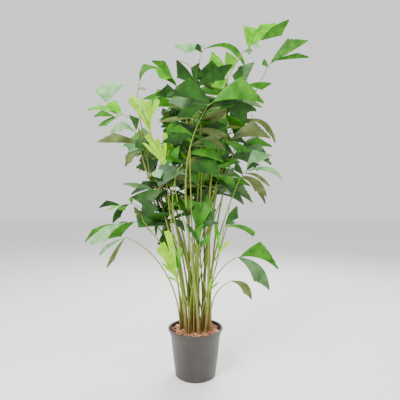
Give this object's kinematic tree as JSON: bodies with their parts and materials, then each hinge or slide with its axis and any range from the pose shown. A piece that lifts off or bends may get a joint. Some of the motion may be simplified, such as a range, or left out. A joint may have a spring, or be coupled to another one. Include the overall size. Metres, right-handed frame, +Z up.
{
  "type": "potted fishtail palm",
  "caption": "Tall fishtail palm with a clump of thin stems and wedge-shaped leaflets, in a round nursery pot with bark mulch.",
  "frame": {"origin": "centre of the pot's flat underside", "axes": "+Z up along the stems, -Y towards the front that the picture shows, +X to its right"},
  "size_m": [1.3033, 0.9318, 1.9623],
  "materials": {
    "pot_plastic": "satin",
    "bark_mulch": "matte",
    "palm_stem": "satin",
    "palm_leaf": "satin"
  },
  "bodies": {
    "root": {"pot": "pot_plastic", "mulch": "bark_mulch", "stem_01": "palm_stem", "stem_02": "palm_stem", "stem_03": "palm_stem", "stem_04": "palm_stem", "stem_05": "palm_stem", "stem_06": "palm_stem", "stem_07": "palm_stem", "stem_08": "palm_stem", "stem_09": "palm_stem", "stem_10": "palm_stem", "stem_11": "palm_stem", "stem_12": "palm_stem", "stem_13": "palm_stem", "stem_14": "palm_stem", "stem_15": "palm_stem", "stem_16": "palm_stem", "stem_17": "palm_stem", "stem_18": "palm_stem", "stem_19": "palm_stem", "stem_20": "palm_stem", "frond_01": "palm_leaf", "frond_02": "palm_leaf", "frond_03": "palm_leaf", "frond_04": "palm_leaf", "frond_05": "palm_leaf", "frond_06": "palm_leaf", "frond_07": "palm_leaf", "frond_08": "palm_leaf", "frond_09": "palm_leaf", "frond_10": "palm_leaf", "frond_11": "palm_leaf", "frond_12": "palm_leaf", "frond_13": "palm_leaf", "frond_14": "palm_leaf", "frond_15": "palm_leaf", "frond_16": "palm_leaf", "frond_17": "palm_leaf", "frond_18": "palm_leaf", "frond_19": "palm_leaf", "frond_20": "palm_leaf", "frond_21": "palm_leaf", "frond_22": "palm_leaf", "frond_23": "palm_leaf", "frond_24": "palm_leaf", "frond_25": "palm_leaf", "frond_26": "palm_leaf", "frond_27": "palm_leaf", "frond_28": "palm_leaf", "frond_29": "palm_leaf", "frond_30": "palm_leaf", "frond_31": "palm_leaf", "frond_32": "palm_leaf", "frond_33": "palm_leaf", "frond_34": "palm_leaf", "frond_35": "palm_leaf", "frond_36": "palm_leaf", "frond_37": "palm_leaf", "frond_38": "palm_leaf"}
  },
  "joints": []
}
